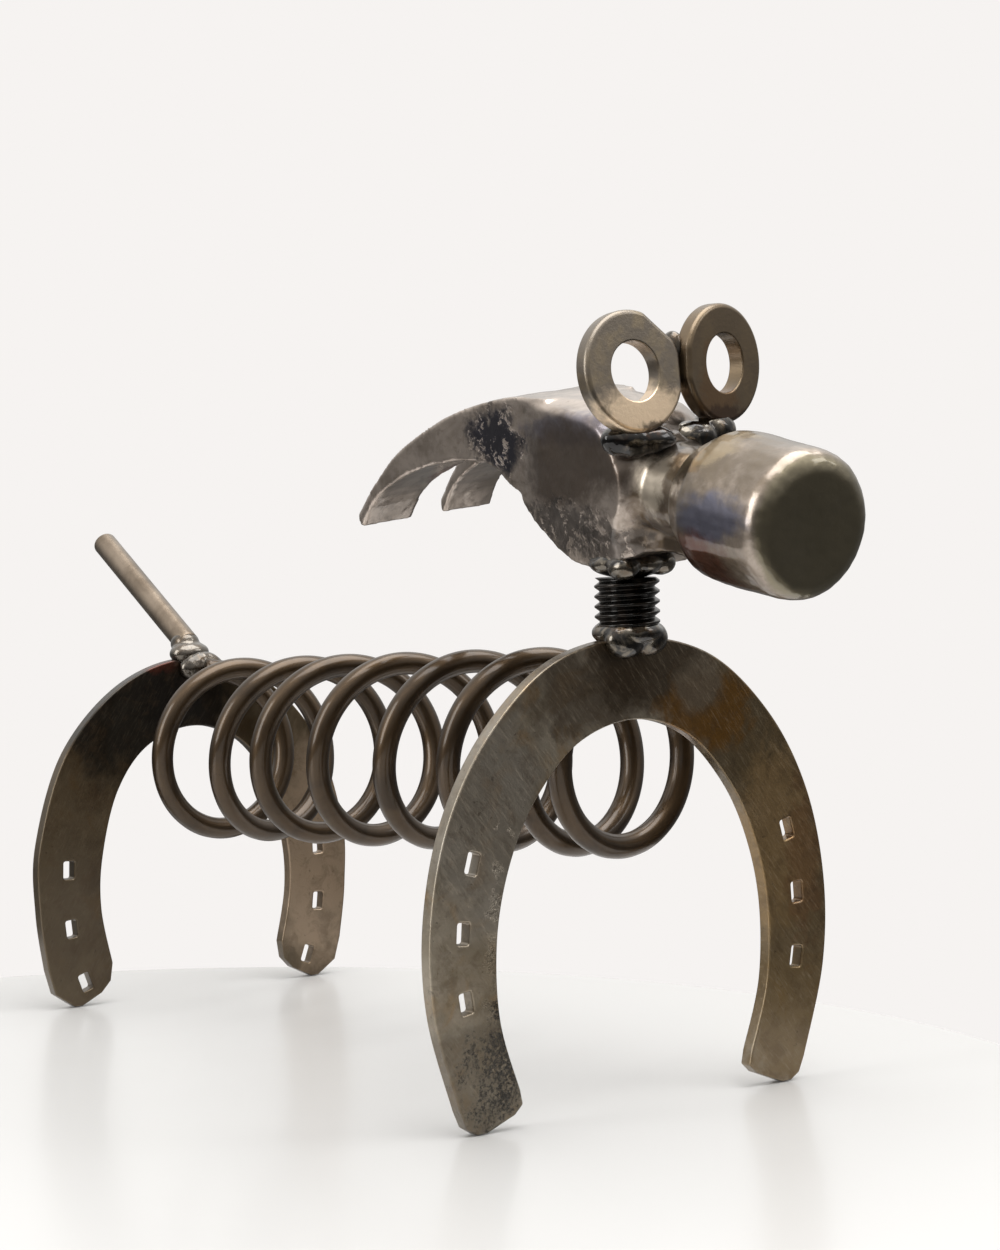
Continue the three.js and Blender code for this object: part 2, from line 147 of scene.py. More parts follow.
class Graph:
    """A material's node tree, with one short method for each kind of node."""

    def __init__(self, name: str) -> None:
        """Makes an empty material.

        Args:
            name: The material's name.
        """
        self.material = bpy.data.materials.new(name)
        self.material.use_nodes = True
        self.tree = self.material.node_tree
        self.tree.nodes.clear()
        self.place = self.tree.nodes.new("ShaderNodeTexCoord").outputs["Object"]

    def feed(self, socket: bpy.types.NodeSocket, value: object) -> None:
        """Sets a socket to a number or colour, or links another socket to it.

        Args:
            socket: The input.
            value: A number, a colour, a vector or an output socket.
        """
        if isinstance(value, bpy.types.NodeSocket):
            self.tree.links.new(value, socket)
        elif isinstance(value, tuple) and len(value) == 3 and len(socket.default_value) == 4:
            socket.default_value = (*value, 1.0)
        else:
            socket.default_value = value

    def math(self, operation: str, first: object, second: object = 0.0) -> bpy.types.NodeSocket:
        """Adds a sum.

        Args:
            operation: Blender's name of the sum.
            first: Number or socket.
            second: Number or socket.

        Returns:
            The result, kept between 0 and 1.
        """
        node = self.tree.nodes.new("ShaderNodeMath")
        node.operation = operation
        node.use_clamp = True
        self.feed(node.inputs[0], first)
        self.feed(node.inputs[1], second)
        return node.outputs[0]

    def stretched(self, scale: Triple,
                  turn: Triple = (0, 0, 0)) -> bpy.types.NodeSocket:
        """Turns and stretches the place, for brushed and drawn textures.

        Args:
            scale: Stretch along each axis, after the turn.
            turn: Turn about each axis, in degrees.

        Returns:
            The stretched place.
        """
        turned = self.tree.nodes.new("ShaderNodeMapping")
        turned.inputs["Rotation"].default_value = tuple(math.radians(angle) for angle in turn)
        self.feed(turned.inputs["Vector"], self.place)
        scaled = self.tree.nodes.new("ShaderNodeMapping")
        scaled.inputs["Scale"].default_value = scale
        self.feed(scaled.inputs["Vector"], turned.outputs[0])
        return scaled.outputs[0]

    def noise(self, size: float, detail: float = 4.0, rough: float = 0.55, warp: float = 0.0,
              place: bpy.types.NodeSocket | None = None, seed: float = 0.0) -> bpy.types.NodeSocket:
        """Adds cloudy noise.

        Args:
            size: Size of the clouds in millimetres.
            detail: How many finer layers it has.
            rough: How strong the finer layers are.
            warp: How much it swirls.
            place: Where it is read, if not plainly.
            seed: Picks another pattern.

        Returns:
            The noise, about 0.3 to 0.7.
        """
        node = self.tree.nodes.new("ShaderNodeTexNoise")
        node.noise_dimensions = "4D"
        node.inputs["W"].default_value = seed
        node.inputs["Scale"].default_value = 1 / (size * MM)
        node.inputs["Detail"].default_value = detail
        node.inputs["Roughness"].default_value = rough
        node.inputs["Distortion"].default_value = warp
        self.feed(node.inputs["Vector"], place or self.place)
        return node.outputs[0]

    def step(self, value: object, low: float, high: float) -> bpy.types.NodeSocket:
        """Turns a value into a soft mask.

        Args:
            value: What is tested.
            low: Where the mask is 0.
            high: Where the mask is 1, which may be below low.

        Returns:
            The mask.
        """
        node = self.tree.nodes.new("ShaderNodeMapRange")
        node.interpolation_type = "SMOOTHSTEP"
        self.feed(node.inputs["Value"], value)
        flipped = low > high
        node.inputs["From Min"].default_value = min(low, high)
        node.inputs["From Max"].default_value = max(low, high)
        node.inputs["To Min"].default_value = 1.0 if flipped else 0.0
        node.inputs["To Max"].default_value = 0.0 if flipped else 1.0
        return node.outputs[0]

    def blend(self, mask: object, first: object, second: object) -> bpy.types.NodeSocket:
        """Mixes two colours.

        Args:
            mask: Share of the second.
            first: Colour or socket.
            second: Colour or socket.

        Returns:
            The mixed colour.
        """
        node = self.tree.nodes.new("ShaderNodeMix")
        node.data_type = "RGBA"
        self.feed(node.inputs[0], mask)
        self.feed(node.inputs[MIX_FIRST], first)
        self.feed(node.inputs[MIX_SECOND], second)
        return node.outputs[MIX_RESULT]

    def between(self, mask: object, low: float, high: float) -> bpy.types.NodeSocket:
        """Turns a mask into a number between two ends.

        Args:
            mask: The mask.
            low: Value where the mask is 0.
            high: Value where the mask is 1.

        Returns:
            The number.
        """
        node = self.tree.nodes.new("ShaderNodeMapRange")
        self.feed(node.inputs["Value"], mask)
        node.inputs["To Min"].default_value = low
        node.inputs["To Max"].default_value = high
        return node.outputs[0]

    def patch(self, colour_patch: ColourPatch, seed: float) -> bpy.types.NodeSocket:
        """Masks the ragged area that one colour patch covers.

        Args:
            colour_patch: The patch; some are real stains, some are painted highlights, reflection and
                shade.
            seed: Picks another edge.

        Returns:
            A mask, 1 in the patch.
        """
        offset = self.tree.nodes.new("ShaderNodeVectorMath")
        offset.operation = "SUBTRACT"
        self.feed(offset.inputs[0], self.place)
        offset.inputs[1].default_value = at(*colour_patch.centre)
        scaled = self.tree.nodes.new("ShaderNodeVectorMath")
        scaled.operation = "MULTIPLY"
        self.feed(scaled.inputs[0], offset.outputs[0])
        scaled.inputs[1].default_value = tuple(1 / (half * MM) for half in colour_patch.size)
        length = self.tree.nodes.new("ShaderNodeVectorMath")
        length.operation = "LENGTH"
        self.feed(length.inputs[0], scaled.outputs[0])
        edge_noise = self.noise(colour_patch.grain, 5, 0.6, 0.4, seed=seed)
        wobble = self.between(edge_noise, -2 * colour_patch.ragged, 2 * colour_patch.ragged)
        total = self.tree.nodes.new("ShaderNodeMath")
        total.operation = "ADD"
        self.feed(total.inputs[0], length.outputs["Value"])
        self.feed(total.inputs[1], wobble)
        return self.step(total.outputs[0], 1 + colour_patch.edge, 1 - colour_patch.edge)

    def patched(self, colour: object, colour_patches: Sequence[ColourPatch]) -> object:
        """Lays colour patches over a colour, one after the other: real stains and painted light alike.

        Args:
            colour: The colour or socket under them.
            colour_patches: The patches, the lowest first.

        Returns:
            The patched colour.
        """
        for index, colour_patch in enumerate(colour_patches):
            mask = self.patch(colour_patch, index + 1.0)
            colour = self.blend(self.math("MULTIPLY", mask, colour_patch.strength), colour, colour_patch.colour)
        return colour

    def bump(self, height: object, depth: float, normal: bpy.types.NodeSocket | None = None,
             strength: float = 1.0) -> bpy.types.NodeSocket:
        """Adds relief.

        Args:
            height: Where it stands up.
            depth: How far, in millimetres.
            normal: Relief that it adds to.
            strength: How strongly it shows.

        Returns:
            The bumped normal.
        """
        node = self.tree.nodes.new("ShaderNodeBump")
        node.inputs["Strength"].default_value = strength
        node.inputs["Distance"].default_value = depth * MM
        self.feed(node.inputs["Height"], height)
        if normal is not None:
            self.feed(node.inputs["Normal"], normal)
        return node.outputs[0]

    def finish(self, colour: object, rough: object, normal: bpy.types.NodeSocket | None, *,
               metal: float, coat: float, coat_rough: float) -> bpy.types.Material:
        """Adds the shader: steel under clear lacquer.

        Args:
            colour: Base colour.
            rough: Roughness of the steel.
            normal: Relief, if any.
            metal: How metallic it is.
            coat: How much lacquer lies on it.
            coat_rough: Roughness of the lacquer.

        Returns:
            The finished material.
        """
        shader = self.tree.nodes.new("ShaderNodeBsdfPrincipled")
        self.feed(shader.inputs["Base Color"], colour)
        self.feed(shader.inputs["Roughness"], rough)
        shader.inputs["Metallic"].default_value = metal
        shader.inputs["Coat Weight"].default_value = coat
        shader.inputs["Coat Roughness"].default_value = coat_rough
        if normal is not None:
            self.feed(shader.inputs["Normal"], normal)
        output = self.tree.nodes.new("ShaderNodeOutputMaterial")
        self.tree.links.new(shader.outputs[0], output.inputs[0])
        return self.material


# ---------------------------------------------------------------- finishes


@dataclass(frozen=True)
class PlateFinish:
    """Rolled horseshoe plate: brown mill scale, brush marks, heat stains and a pitted heel."""

    name: str
    base: Colour
    dull: Colour
    tint: Colour
    brush_turn: float
    brushed: float
    colour_patches: tuple[ColourPatch, ...]
    pitted: tuple[ColourPatch, ...] = ()

    def make(self) -> bpy.types.Material:
        """Builds the material."""
        graph = Graph(self.name)
        clouds = graph.noise(16, 5, 0.6, 0.6)
        colour = graph.blend(graph.step(clouds, 0.42, 0.62), self.base, self.dull)
        tinted = graph.step(graph.noise(9, 4, 0.6, 0.9, seed=3), 0.5, 0.68)
        colour = graph.blend(graph.math("MULTIPLY", tinted, 0.7), colour, self.tint)
        brush = graph.noise(1, 3, 0.7, 0, graph.stretched((3.2, 1.0, 0.3), (0, self.brush_turn, 0)))
        colour = graph.patched(colour, self.colour_patches)
        mottle = graph.step(graph.noise(4, 5, 0.68, 0.8, seed=12), 0.48, 0.66)
        colour = graph.blend(graph.math("MULTIPLY", mottle, 0.32), colour, srgb(76, 59, 40))
        colour = graph.blend(graph.math("MULTIPLY", graph.step(brush, 0.5, 0.74), self.brushed), colour,
                             srgb(184, 170, 148))
        grain = graph.noise(0.55, 3, 0.65)
        speck = graph.step(graph.noise(1.3, 3, 0.7, seed=5), 0.63, 0.72)
        colour = graph.blend(graph.math("MULTIPLY", speck, 0.5), colour, srgb(44, 36, 28))
        rough = graph.between(graph.step(brush, 0.35, 0.7), 0.36, 0.5)
        relief = graph.bump(grain, 0.035)
        relief = graph.bump(brush, 0.02, relief)
        for index, colour_patch in enumerate(self.pitted):
            area = graph.patch(colour_patch, index + 9.0)
            holes = graph.step(graph.noise(0.6, 4, 0.75, 0.3, seed=7), 0.44, 0.58)
            pits = graph.math("MULTIPLY", area, holes)
            colour = graph.blend(graph.math("MULTIPLY", pits, colour_patch.strength), colour, colour_patch.colour)
            relief = graph.bump(graph.math("SUBTRACT", 1.0, pits), 0.16, relief)
        return graph.finish(colour, rough, relief, metal=0.92, coat=0.5, coat_rough=0.16)


@dataclass(frozen=True)
class CutEdgeFinish:
    """The plate's sheared and filed rim, a little brighter than its faces."""

    name: str = "filed_rim"

    def make(self) -> bpy.types.Material:
        """Builds the material."""
        graph = Graph(self.name)
        worn = graph.noise(5, 4, 0.6, 0.3)
        colour = graph.blend(graph.step(worn, 0.4, 0.62), srgb(176, 184, 190), srgb(126, 128, 126))
        lines = graph.noise(0.6, 2, 0.6, 0, graph.stretched((1, 0.2, 1)))
        relief = graph.bump(lines, 0.03)
        rough = graph.between(worn, 0.26, 0.5)
        return graph.finish(colour, rough, relief, metal=1.0, coat=0.6, coat_rough=0.1)


@dataclass(frozen=True)
class DrawnWireFinish:
    """Drawn wire or rod: plain brown-grey with faint lengthwise streaks and dark specks."""

    name: str
    base: Colour
    dark: Colour
    rough: float = 0.34

    def make(self) -> bpy.types.Material:
        """Builds the material."""
        graph = Graph(self.name)
        clouds = graph.noise(11, 4, 0.6, 0.4)
        colour = graph.blend(graph.step(clouds, 0.4, 0.66), self.base, self.dark)
        speck = graph.step(graph.noise(1.1, 3, 0.7, seed=2), 0.64, 0.74)
        colour = graph.blend(graph.math("MULTIPLY", speck, 0.55), colour, srgb(40, 32, 26))
        relief = graph.bump(graph.noise(0.7, 3, 0.6), 0.02)
        rough = graph.between(clouds, self.rough - 0.06, self.rough + 0.1)
        return graph.finish(colour, rough, relief, metal=0.95, coat=0.55, coat_rough=0.14)


@dataclass(frozen=True)
class ForgedFinish:
    """The forged hammer: grey steel with scale flakes, heat colours and a dark struck face, with painted
    highlights, a painted reflection and painted shade among its colour patches.
    """

    name: str
    base: Colour
    shade: Colour
    colour_patches: tuple[ColourPatch, ...]
    flakes: tuple[ColourPatch, ...]

    def make(self) -> bpy.types.Material:
        """Builds the material."""
        graph = Graph(self.name)
        clouds = graph.noise(12, 5, 0.62, 0.7)
        colour = graph.blend(graph.step(clouds, 0.4, 0.64), self.base, self.shade)
        fine = graph.noise(2.2, 4, 0.65, 0.5, seed=4)
        worn = graph.math("MULTIPLY", graph.step(fine, 0.52, 0.7), 0.35)
        colour = graph.blend(worn, colour, srgb(84, 71, 60))
        colour = graph.patched(colour, self.colour_patches)
        relief = graph.bump(graph.noise(0.8, 3, 0.6), 0.03)
        relief = graph.bump(graph.noise(5, 3, 0.5, seed=8), 0.16, relief)
        rough = graph.between(clouds, 0.27, 0.42)
        for index, flake in enumerate(self.flakes):
            area = graph.patch(flake, index + 20.0)
            broken = graph.step(graph.noise(2.4, 5, 0.7, 0.6, seed=index + 11.0), 0.4, 0.46)
            mask = graph.math("MULTIPLY", area, broken)
            colour = graph.blend(graph.math("MULTIPLY", mask, flake.strength), colour, flake.colour)
            relief = graph.bump(mask, 0.07, relief)
        return graph.finish(colour, rough, relief, metal=0.95, coat=0.75, coat_rough=0.09)


@dataclass(frozen=True)
class WasherFinish:
    """Stamped washer: satin grey-brown with sandy patches and fine pitting; the bright sandy lower part of
    the right washer is a painted highlight among its colour patches.
    """

    name: str
    base: Colour
    sandy: Colour
    colour_patches: tuple[ColourPatch, ...]

    def make(self) -> bpy.types.Material:
        """Builds the material."""
        graph = Graph(self.name)
        clouds = graph.noise(6, 4, 0.6, 0.5)
        colour = graph.blend(graph.step(clouds, 0.42, 0.64), self.base, self.sandy)
        colour = graph.patched(colour, self.colour_patches)
        pits = graph.noise(0.9, 4, 0.65)
        relief = graph.bump(pits, 0.05)
        rough = graph.between(clouds, 0.34, 0.46)
        return graph.finish(colour, rough, relief, metal=0.95, coat=0.45, coat_rough=0.2)


@dataclass(frozen=True)
class ThreadFinish:
    """The threaded rod: nearly black and glossy, brighter on its crests."""

    name: str
    base: Colour

    def make(self) -> bpy.types.Material:
        """Builds the material."""
        graph = Graph(self.name)
        clouds = graph.noise(3, 4, 0.6, 0.4)
        colour = graph.blend(graph.step(clouds, 0.42, 0.62), self.base, srgb(42, 34, 27))
        relief = graph.bump(graph.noise(0.5, 3, 0.6), 0.03)
        rough = graph.between(clouds, 0.2, 0.36)
        return graph.finish(colour, rough, relief, metal=0.95, coat=0.5, coat_rough=0.08)


@dataclass(frozen=True)
class WeldFinish:
    """Weld metal: glossy silver to black, with straw and brown heat colours."""

    name: str
    bright: Colour
    dark: Colour
    straw: Colour
    darkness: float = 0.5

    def make(self) -> bpy.types.Material:
        """Builds the material."""
        graph = Graph(self.name)
        clouds = graph.noise(3.4, 5, 0.65, 0.8)
        low = 0.62 - 0.24 * self.darkness
        colour = graph.blend(graph.step(clouds, low - 0.06, low + 0.08), self.bright, self.dark)
        heated = graph.step(graph.noise(4.5, 4, 0.6, 0.8, seed=6), 0.5, 0.66)
        colour = graph.blend(graph.math("MULTIPLY", heated, 0.6), colour, self.straw)
        relief = graph.bump(graph.noise(0.9, 4, 0.6, 0.4), 0.07)
        rough = graph.between(clouds, 0.16, 0.34)
        return graph.finish(colour, rough, relief, metal=0.95, coat=0.9, coat_rough=0.06)


# ---------------------------------------------------------------- mesh helpers


def spline(points: Sequence[Point2], count: int) -> list[Point2]:
    """Runs a smooth curve through a few points.

    Args:
        points: The points in order.
        count: How many steps the curve has.

    Returns:
        The points of the curve.
    """
    last = len(points) - 1

    def along(t: float) -> Point2:
        """Reads the curve at one share of its length."""
        whole = min(int(t * last), last - 1)
        share = t * last - whole
        ring = [points[max(whole - 1, 0)], points[whole], points[whole + 1], points[min(whole + 2, last)]]

        def value(axis: int) -> float:
            """Reads one axis of the curve."""
            a, b, c, d = (point[axis] for point in ring)
            slope_b = (c - a) / 2
            slope_c = (d - b) / 2
            cubic = 2 * b - 2 * c + slope_b + slope_c
            square = -3 * b + 3 * c - 2 * slope_b - slope_c
            return ((cubic * share + square) * share + slope_b) * share + b
        return value(0), value(1)
    return [along(i / count) for i in range(count + 1)]


def mirrored(points: Sequence[Point2]) -> list[Point2]:
    """Mirrors a half outline across x = 0, in reverse order."""
    return [(-x, z) for x, z in reversed(points)]


def new_piece(name: str, mesh: bpy.types.Mesh, smooth: bool = True) -> bpy.types.Object:
    """Puts a mesh into the scene.

    Args:
        name: The piece's name.
        mesh: Its mesh, in metres in the frame.
        smooth: Whether it is shaded smooth.

    Returns:
        The new object.
    """
    piece = bpy.data.objects.new(name, mesh)
    bpy.context.scene.collection.objects.link(piece)
    mesh.polygons.foreach_set("use_smooth", [smooth] * len(mesh.polygons))
    return piece


def mesh_from(name: str, bm: bmesh.types.BMesh) -> bpy.types.Mesh:
    """Turns a bmesh into a mesh with its faces pointing out.

    Args:
        name: The mesh's name.
        bm: The bmesh, which is freed.

    Returns:
        The mesh.
    """
    bmesh.ops.recalc_face_normals(bm, faces=bm.faces)
    mesh = bpy.data.meshes.new(name)
    bm.to_mesh(mesh)
    bm.free()
    return mesh


def settle_modifiers(piece: bpy.types.Object) -> None:
    """Applies a piece's modifiers to its mesh.

    Args:
        piece: The piece, which keeps its materials.
    """
    graph = bpy.context.evaluated_depsgraph_get()
    graph.update()
    mesh = bpy.data.meshes.new_from_object(piece.evaluated_get(graph))
    piece.modifiers.clear()
    piece.data = mesh
    mesh.polygons.foreach_set("use_smooth", [True] * len(mesh.polygons))


def skin(piece: bpy.types.Object, voxel: float, rounds: int) -> None:
    """Wraps a piece in one even skin and softens its edges.

    Args:
        piece: The piece.
        voxel: Size of the skin's faces in millimetres.
        rounds: How often it is smoothed.
    """
    wrap = piece.modifiers.new("wrap", "REMESH")
    wrap.mode = "VOXEL"
    wrap.voxel_size = voxel * MM
    soften = piece.modifiers.new("soften", "SMOOTH")
    soften.factor = 0.5
    soften.iterations = rounds
    settle_modifiers(piece)


def roughen(mesh: bpy.types.Mesh, depth: float, size: float, seed: float = 0.0) -> None:
    """Moves a mesh's points in and out by smooth noise.

    Args:
        mesh: The mesh.
        depth: The furthest move in millimetres.
        size: The size of the noise in millimetres.
        seed: Picks another pattern.
    """
    shift = Vector((seed * 7.3, seed * 3.1, seed * 5.7))
    places = [vertex.co.copy() for vertex in mesh.vertices]
    outward = [normal.vector.copy() for normal in mesh.vertex_normals]
    moved: list[float] = []
    for place, normal in zip(places, outward):
        moved.extend(place + normal * noise.noise(place / (size * MM) + shift) * depth * MM)
    mesh.vertices.foreach_set("co", moved)
    mesh.update()


def loft(rings: Sequence[Sequence[Vector]], name: str) -> bpy.types.Mesh:
    """Joins rings of points into a closed tube with capped ends.

    Args:
        rings: The rings, all with as many points.
        name: The mesh's name.

    Returns:
        The mesh.
    """
    bm = bmesh.new()
    rows = [[bm.verts.new(point) for point in ring] for ring in rings]
    for row, after in zip(rows, rows[1:]):
        for i in range(len(row)):
            j = (i + 1) % len(row)
            bm.faces.new((row[i], row[j], after[j], after[i]))
    bm.faces.new(list(reversed(rows[0])))
    bm.faces.new(rows[-1])
    return mesh_from(name, bm)


def tube_rings(path: Sequence[Vector], radii: Sequence[float], sides: int) -> list[list[Vector]]:
    """Carries a round section along a path without twisting it.

    Args:
        path: The path's points in metres.
        radii: The radius at each point in millimetres.
        sides: How many points the section has.

    Returns:
        The rings of points.
    """
    across = Vector((0, 0, 1))
    rings = []
    for index, point in enumerate(path):
        ahead = (path[min(index + 1, len(path) - 1)] - path[max(index - 1, 0)]).normalized()
        across = (across - ahead * across.dot(ahead)).normalized()
        other = ahead.cross(across)
        reach = radii[index] * MM
        angles = [2 * math.pi * i / sides for i in range(sides)]
        rings.append([point + (across * math.cos(a) + other * math.sin(a)) * reach for a in angles])
    return rings


def soft_ends(radius: float, edge: float) -> list[Point2]:
    """Rounds the end of a rod.

    Args:
        radius: The rod's radius in millimetres.
        edge: The rounding's radius in millimetres.

    Returns:
        Pairs of distance from the end and radius there.
    """
    steps = 5
    middle = 0.05
    angles = [math.pi / 2 * i / steps for i in reversed(range(steps + 1))]
    rounding = [(edge * (1 - math.sin(a)), radius - edge * (1 - math.cos(a))) for a in angles]
    return [(0.0, middle), *rounding]


def dress(piece: bpy.types.Object, slot: Slot, node: str, *materials: bpy.types.Material) -> None:
    """Gives a piece its materials, hangs it on the body and hides the CAD node that it replaces.

    Args:
        piece: The piece.
        slot: Its slot in the record; not used.
        node: The CAD node that it replaces.
        materials: Its materials.
    """
    piece.data.materials.clear()
    for material in materials:
        piece.data.materials.append(material)
    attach(piece, BODY)
    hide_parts(node)
    LOG.info("%s: %d faces", piece.name, len(piece.data.polygons))


# ---------------------------------------------------------------- horseshoes


@dataclass
class Horseshoe:
    """A horseshoe cut from plate, standing on its heels. Half profiles are in millimetres."""

    node: str
    y: float
    outer: tuple[Point2, ...]
    heel: tuple[Point2, ...]
    inner: tuple[Point2, ...]
    holes: tuple[Triple, ...]
    finish: PlateFinish
    plate: float = 3.1
    hole_width: float = 2.8
    hole_height: float = 4.2
    hole_corner: float = 0.5
    rim: float = 0.45

    def outline(self) -> list[Point2]:
        """Draws the whole outline, with fine steps round its curves."""
        outer = spline([*mirrored(self.outer), *self.outer[1:]], 160)
        inner = spline([*self.inner, *mirrored(self.inner)[1:]], 140)
        return [*outer, *self.heel, *inner, *mirrored(self.heel)]

    def hole(self, x: float, z: float, lean: float) -> list[Point2]:
        """Draws one punched nail hole.

        Args:
            x: Its middle, across.
            z: Its middle, up.
            lean: How far it leans, in degrees.

        Returns:
            Its outline, with soft corners.
        """
        angle = math.radians(lean)
        corner = self.hole_corner
        points = []
        for index, (sx, sz) in enumerate(((1, 1), (-1, 1), (-1, -1), (1, -1))):
            for step in range(4):
                turn = math.pi / 2 * (index + step / 3)
                px = sx * (self.hole_width / 2 - corner) + corner * math.cos(turn)
                pz = sz * (self.hole_height / 2 - corner) + corner * math.sin(turn)
                points.append((x + px * math.cos(angle) - pz * math.sin(angle),
                               z + px * math.sin(angle) + pz * math.cos(angle)))
        return points

    def build(self) -> bpy.types.Object:
        """Builds the plate with its holes and a soft rim."""
        bm = bmesh.new()
        holes = [self.hole(side * x, z, side * lean) for side in (1, -1) for x, z, lean in self.holes]
        for loop in [self.outline(), *holes]:
            verts = [bm.verts.new(at(x, self.y, z)) for x, z in loop]
            for vert, after in zip(verts, [*verts[1:], verts[0]]):
                bm.edges.new((vert, after))
        bmesh.ops.triangle_fill(bm, use_beauty=True, edges=bm.edges)
        top = bmesh.ops.extrude_face_region(bm, geom=bm.faces[:])
        moved = [item for item in top["geom"] if isinstance(item, bmesh.types.BMVert)]
        bmesh.ops.translate(bm, verts=moved, vec=Vector((0, self.plate * MM, 0)))
        bmesh.ops.recalc_face_normals(bm, faces=bm.faces)
        for face in bm.faces:
            face.material_index = 0 if abs(face.normal.y) > 0.5 else 1
        rims = [edge for edge in bm.edges if edge.calc_face_angle(0) > math.radians(40)]
        bmesh.ops.bevel(bm, geom=rims, offset=self.rim * MM, segments=3, affect="EDGES", profile=0.6,
                        material=1, clamp_overlap=True)
        piece = new_piece(self.node + "_plate", mesh_from(self.node, bm))
        smooth = piece.modifiers.new("crisp", "WEIGHTED_NORMAL")
        smooth.keep_sharp = True
        smooth.weight = 80
        return piece

    def dress(self) -> None:
        """Builds the shoe and gives it its finish."""
        rim = CutEdgeFinish(self.node + "_rim")
        dress(self.build(), Slot.HORSESHOE, self.node, self.finish.make(), rim.make())


# ---------------------------------------------------------------- coil spring


@dataclass
class CoilSpring:
    """The body's left-handed, unevenly stretched spring.

    Each end is (x, z) of the coil's middle there and the turn at which the wire is cut. The stretch
    is how far back the wire is at every half turn.
    """

    node: str = "coil_spring"
    wire: float = 2.5
    radius: float = 18.95
    first_turn: float = -1.0
    rear: Triple = (0.7, 58.7, -0.75)
    front: Triple = (8.8, 68.8, 7.25)
    rear_y: float = 172.3
    stretch: tuple[float, ...] = (
        173.4, 164.1, 156.4, 147.4, 131.7, 122.4, 115.1, 103.4, 92.8,
        82.2, 68.1, 58.1, 45.9, 34.8, 21.7, 18.9, 10.1, 2.6)
    steps: int = 64
    sides: int = 20

    def path(self) -> list[Vector]:
        """Winds the wire's centre line from the rear shoe to the front one."""
        count = (len(self.stretch) - 1) * self.steps
        lengthwise = spline([(i, y) for i, y in enumerate(self.stretch)], count)
        turns = [self.first_turn + i / 2 for i, _ in lengthwise]
        points = []
        for turn, (_, y) in zip(turns, lengthwise):
            if self.rear[2] <= turn <= self.front[2]:
                share = y / self.rear_y
                x = self.front[0] + (self.rear[0] - self.front[0]) * share
                z = self.front[1] + (self.rear[1] - self.front[1]) * share
                angle = 2 * math.pi * turn
                points.append(at(x - self.radius * math.cos(angle), y, z + self.radius * math.sin(angle)))
        return points

    def dress(self) -> None:
        """Builds the wire and gives it its finish."""
        path = self.path()
        radii = [self.wire] * len(path)
        piece = new_piece("spring_wire", loft(tube_rings(path, radii, self.sides), "spring_wire"))
        finish = DrawnWireFinish("drawn_spring_wire", srgb(72, 57, 40), srgb(56, 44, 31), 0.4)
        dress(piece, Slot.SPRING, self.node, finish.make())


# ---------------------------------------------------------------- neck


@dataclass
class ThreadedNeck:
    """A short piece of threaded rod that carries the head."""

    node: str = "neck_rod"
    radius: float = 6.35
    pitch: float = 1.95
    depth: float = 0.95
    centre: tuple[float, float] = (0.0, 1.55)
    bottom: float = 92.0
    top: float = 103.2
    sides: int = 96
    levels: int = 132

    def radius_at(self, height: float, angle: float) -> float:
        """Reads the thread's radius.

        Args:
            height: Height above the rod's foot.
            angle: Angle round the rod.

        Returns:
            The radius in millimetres.
        """
        phase = (height / self.pitch - angle / (2 * math.pi)) % 1.0
        ridge = 1 - abs(phase - 0.5) * 2
        root = 0.1
        flank = 0.72
        rise = min(max((ridge - root) / flank, 0.0), 1.0)
        return self.radius - self.depth * (1 - rise)

    def dress(self) -> None:
        """Builds the thread as a true helix and gives it its finish."""
        rings = []
        x, y = self.centre
        for level in range(self.levels + 1):
            height = (self.top - self.bottom) * level / self.levels
            ring = []
            for i in range(self.sides):
                angle = 2 * math.pi * i / self.sides
                radius = self.radius_at(height, angle)
                across, back = radius * math.cos(angle), radius * math.sin(angle)
                ring.append(at(x + across, y + back, self.bottom + height))
            rings.append(ring)
        piece = new_piece("threaded_neck", loft(rings, "threaded_neck"))
        dress(piece, Slot.THREAD, self.node, ThreadFinish("thread_steel", srgb(22, 20, 17)).make())


# ---------------------------------------------------------------- hammer head


